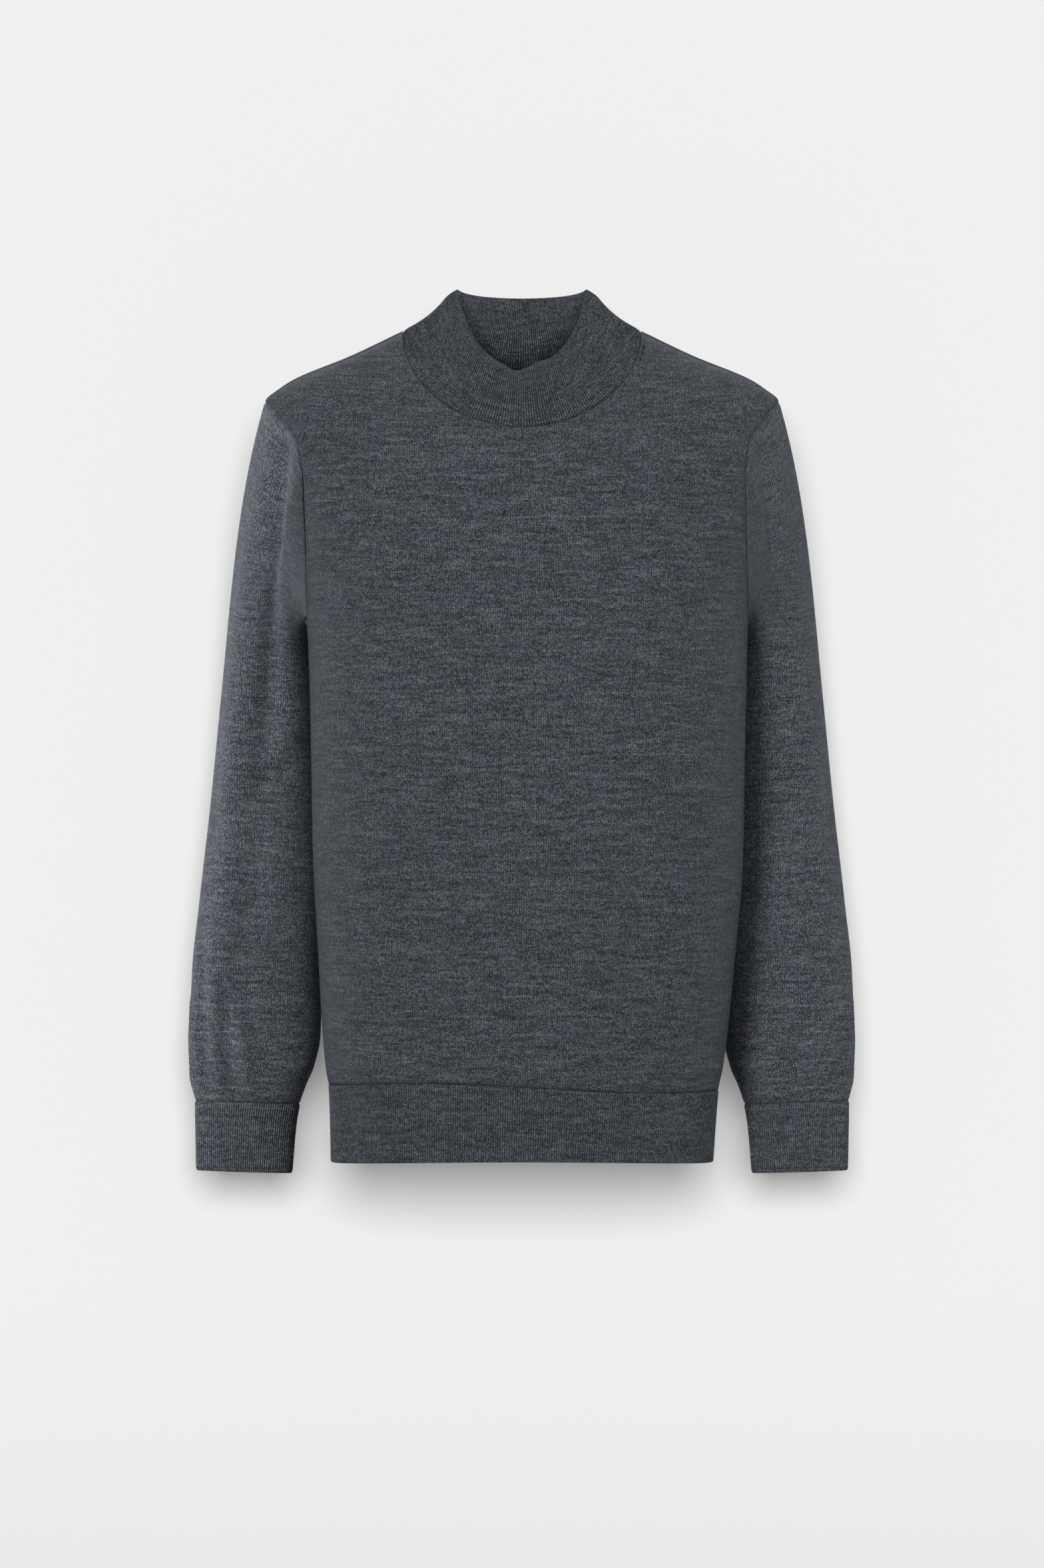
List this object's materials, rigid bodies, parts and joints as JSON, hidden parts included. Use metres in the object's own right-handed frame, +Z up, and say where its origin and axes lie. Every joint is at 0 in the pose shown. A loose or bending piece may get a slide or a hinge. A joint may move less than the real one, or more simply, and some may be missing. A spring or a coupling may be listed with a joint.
{
  "type": "turtleneck sweater",
  "caption": "Dark blue-grey heathered fine-knit mock-neck sweater with set-in sleeves, a ribbed collar, hem and cuffs, filled out as if worn.",
  "frame": {"origin": "middle of the neck, level with the points where the collar's seam crosses the shoulder ridges", "axes": "+X to the wearer's left, +Y to the wearer's back, +Z up; the front faces -Y"},
  "size_m": [0.5474, 0.2289, 0.7249],
  "materials": {
    "jersey": "matte heathered fine wool jersey",
    "rib": "matte heathered fine wool 1x1 rib"
  },
  "bodies": {
    "root": {"front_panel": "jersey", "back_panel": "jersey", "sleeve_right": "jersey", "sleeve_left": "jersey", "collar": "rib", "hem_rib_front": "rib", "hem_rib_back": "rib", "cuff_right": "rib", "cuff_left": "rib"}
  },
  "joints": []
}
